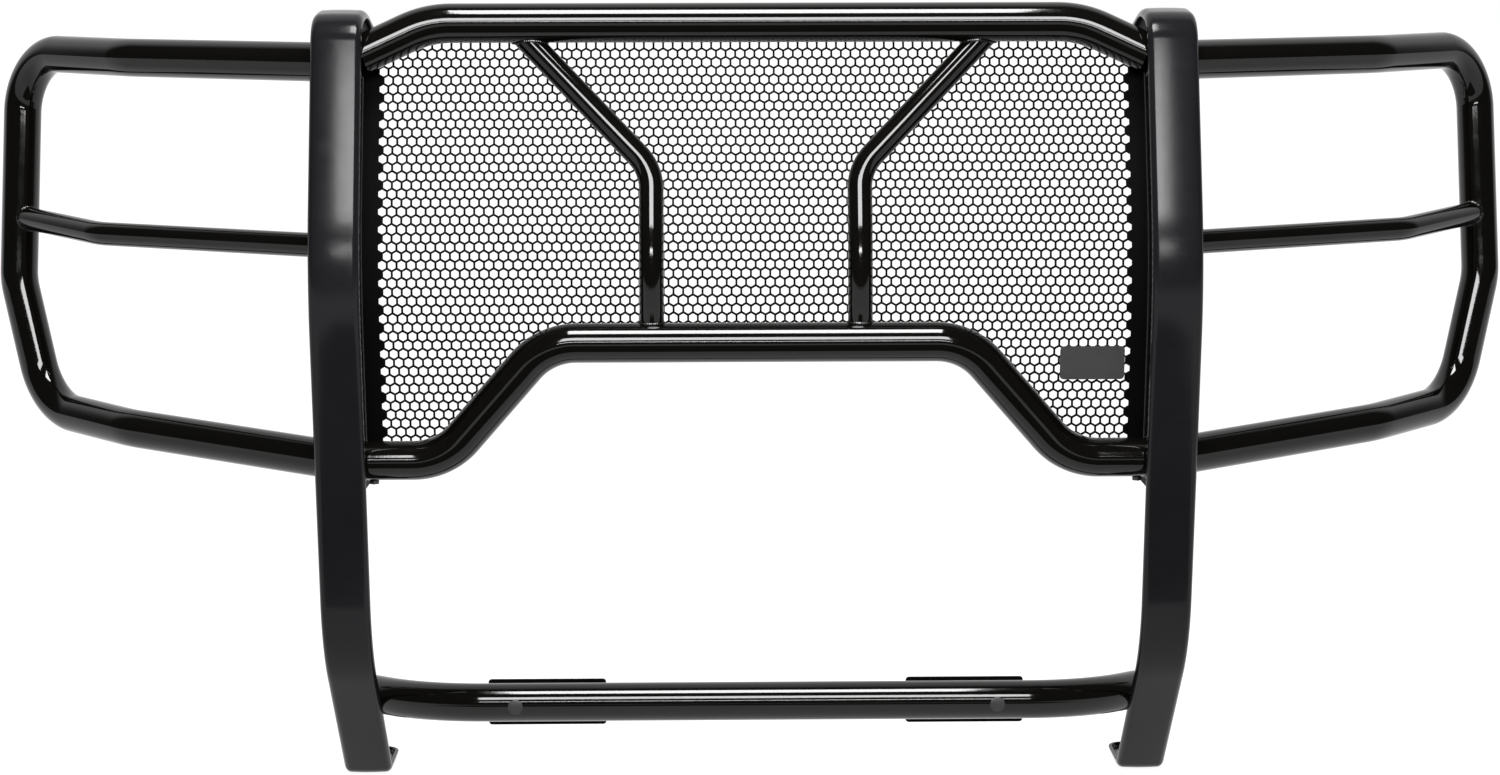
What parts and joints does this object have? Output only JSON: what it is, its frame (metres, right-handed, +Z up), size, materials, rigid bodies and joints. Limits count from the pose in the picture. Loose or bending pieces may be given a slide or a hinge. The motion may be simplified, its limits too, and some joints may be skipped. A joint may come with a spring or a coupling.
{
  "type": "front grille guard",
  "caption": "Full-width pickup grille guard: formed steel uprights, bent tube centre section with a perforated screen, swept wing hoops and a lower cross tube.",
  "frame": {"origin": "centre of the bounding box in X and Y, on the undersides of the two feet in Z", "axes": "X across the vehicle, with +X on the right in a front view; -Y to the front; +Z up"},
  "size_m": [2.0974, 0.4364, 1.0534],
  "materials": {
    "gloss_black_tube": "gloss black powder coat",
    "satin_black_plate": "satin black powder coat",
    "black_screen": "semi-matte black coat on punched sheet",
    "badge_black": "plain satin, no marking",
    "black_zinc_fastener": "black zinc",
    "black_plug": "moulded plastic, fine grain"
  },
  "bodies": {
    "root": {"top_tube": "gloss_black_tube", "lower_grille_tube": "gloss_black_tube", "lower_cross_tube": "gloss_black_tube", "left_brace_tube": "gloss_black_tube", "left_wing_hoop": "gloss_black_tube", "left_wing_mid_tube": "gloss_black_tube", "right_brace_tube": "gloss_black_tube", "right_wing_hoop": "gloss_black_tube", "right_wing_mid_tube": "gloss_black_tube", "left_upright": "satin_black_plate", "left_side_plate": "satin_black_plate", "left_mounting_plate": "satin_black_plate", "right_upright": "satin_black_plate", "right_side_plate": "satin_black_plate", "right_mounting_plate": "satin_black_plate", "grille_screen": "black_screen", "badge_plate": "badge_black", "badge_clamp": "black_zinc_fastener", "left_plate_bolt": "black_zinc_fastener", "left_plate_nut": "black_zinc_fastener", "left_tube_bolt": "black_zinc_fastener", "right_plate_bolt": "black_zinc_fastener", "right_plate_nut": "black_zinc_fastener", "right_tube_bolt": "black_zinc_fastener", "left_tube_plug": "black_plug", "right_tube_plug": "black_plug"}
  },
  "joints": []
}
